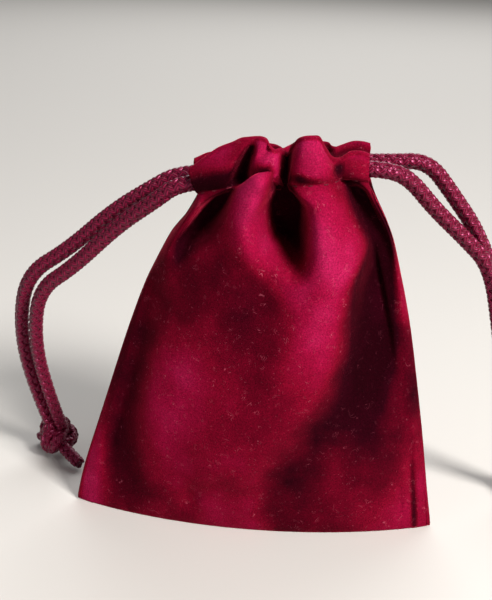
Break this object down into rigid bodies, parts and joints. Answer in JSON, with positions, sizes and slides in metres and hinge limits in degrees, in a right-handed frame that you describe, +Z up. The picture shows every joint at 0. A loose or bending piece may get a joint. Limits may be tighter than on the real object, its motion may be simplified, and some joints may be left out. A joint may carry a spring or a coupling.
{
  "type": "drawstring gift pouch",
  "caption": "Small velvet gift pouch, drawn shut by cords that run through casings around its mouth and end in knots.",
  "frame": {"origin": "centre of the pouch's base, on the surface it stands on", "axes": "+Z up towards the mouth, +X to the pouch's right seen from the front, -Y towards the front"},
  "size_m": [0.1169, 0.037, 0.0786],
  "materials": {
    "velvet": "crimson velvet pile",
    "cord": "satin braid",
    "thread": "polyester sewing thread"
  },
  "bodies": {
    "pouch": {"front_panel": "velvet", "back_panel": "velvet", "left_seam_allowance": "velvet", "right_seam_allowance": "velvet", "left_seam_stitches": "thread", "right_seam_stitches": "thread"},
    "front_lip": {"front_casing": "velvet", "front_casing_stitches": "thread"},
    "back_lip": {"back_casing": "velvet", "back_casing_stitches": "thread"},
    "left_cord": {"left_cord_casing_run": "cord", "left_cord_front_strand": "cord", "left_cord_back_strand": "cord", "left_cord_knot": "cord", "left_cord_tails": "cord"},
    "right_cord": {"right_cord_casing_run": "cord", "right_cord_front_strand": "cord", "right_cord_back_strand": "cord", "right_cord_knot": "cord", "right_cord_tails": "cord"}
  },
  "joints": [
    {"name": "front_lip_opens", "type": "hinge", "parent": "pouch", "child": "front_lip", "pos_m": [0, -0.01, 0.0672], "axis": [1, 0, 0], "range_deg": [0, 8]},
    {"name": "back_lip_opens", "type": "hinge", "parent": "pouch", "child": "back_lip", "pos_m": [0, 0.01, 0.0672], "axis": [-1, 0, 0], "range_deg": [0, 8]},
    {"name": "left_cord_pull", "type": "slide", "parent": "pouch", "child": "left_cord", "axis": [-1, 0, 0], "range_m": [-0.003, 0.002]},
    {"name": "right_cord_pull", "type": "slide", "parent": "pouch", "child": "right_cord", "axis": [1, 0, 0], "range_m": [-0.003, 0.002]}
  ],
  "couplings": [
    {"joint": "back_lip_opens", "follows": "front_lip_opens", "ratio": 1}
  ]
}
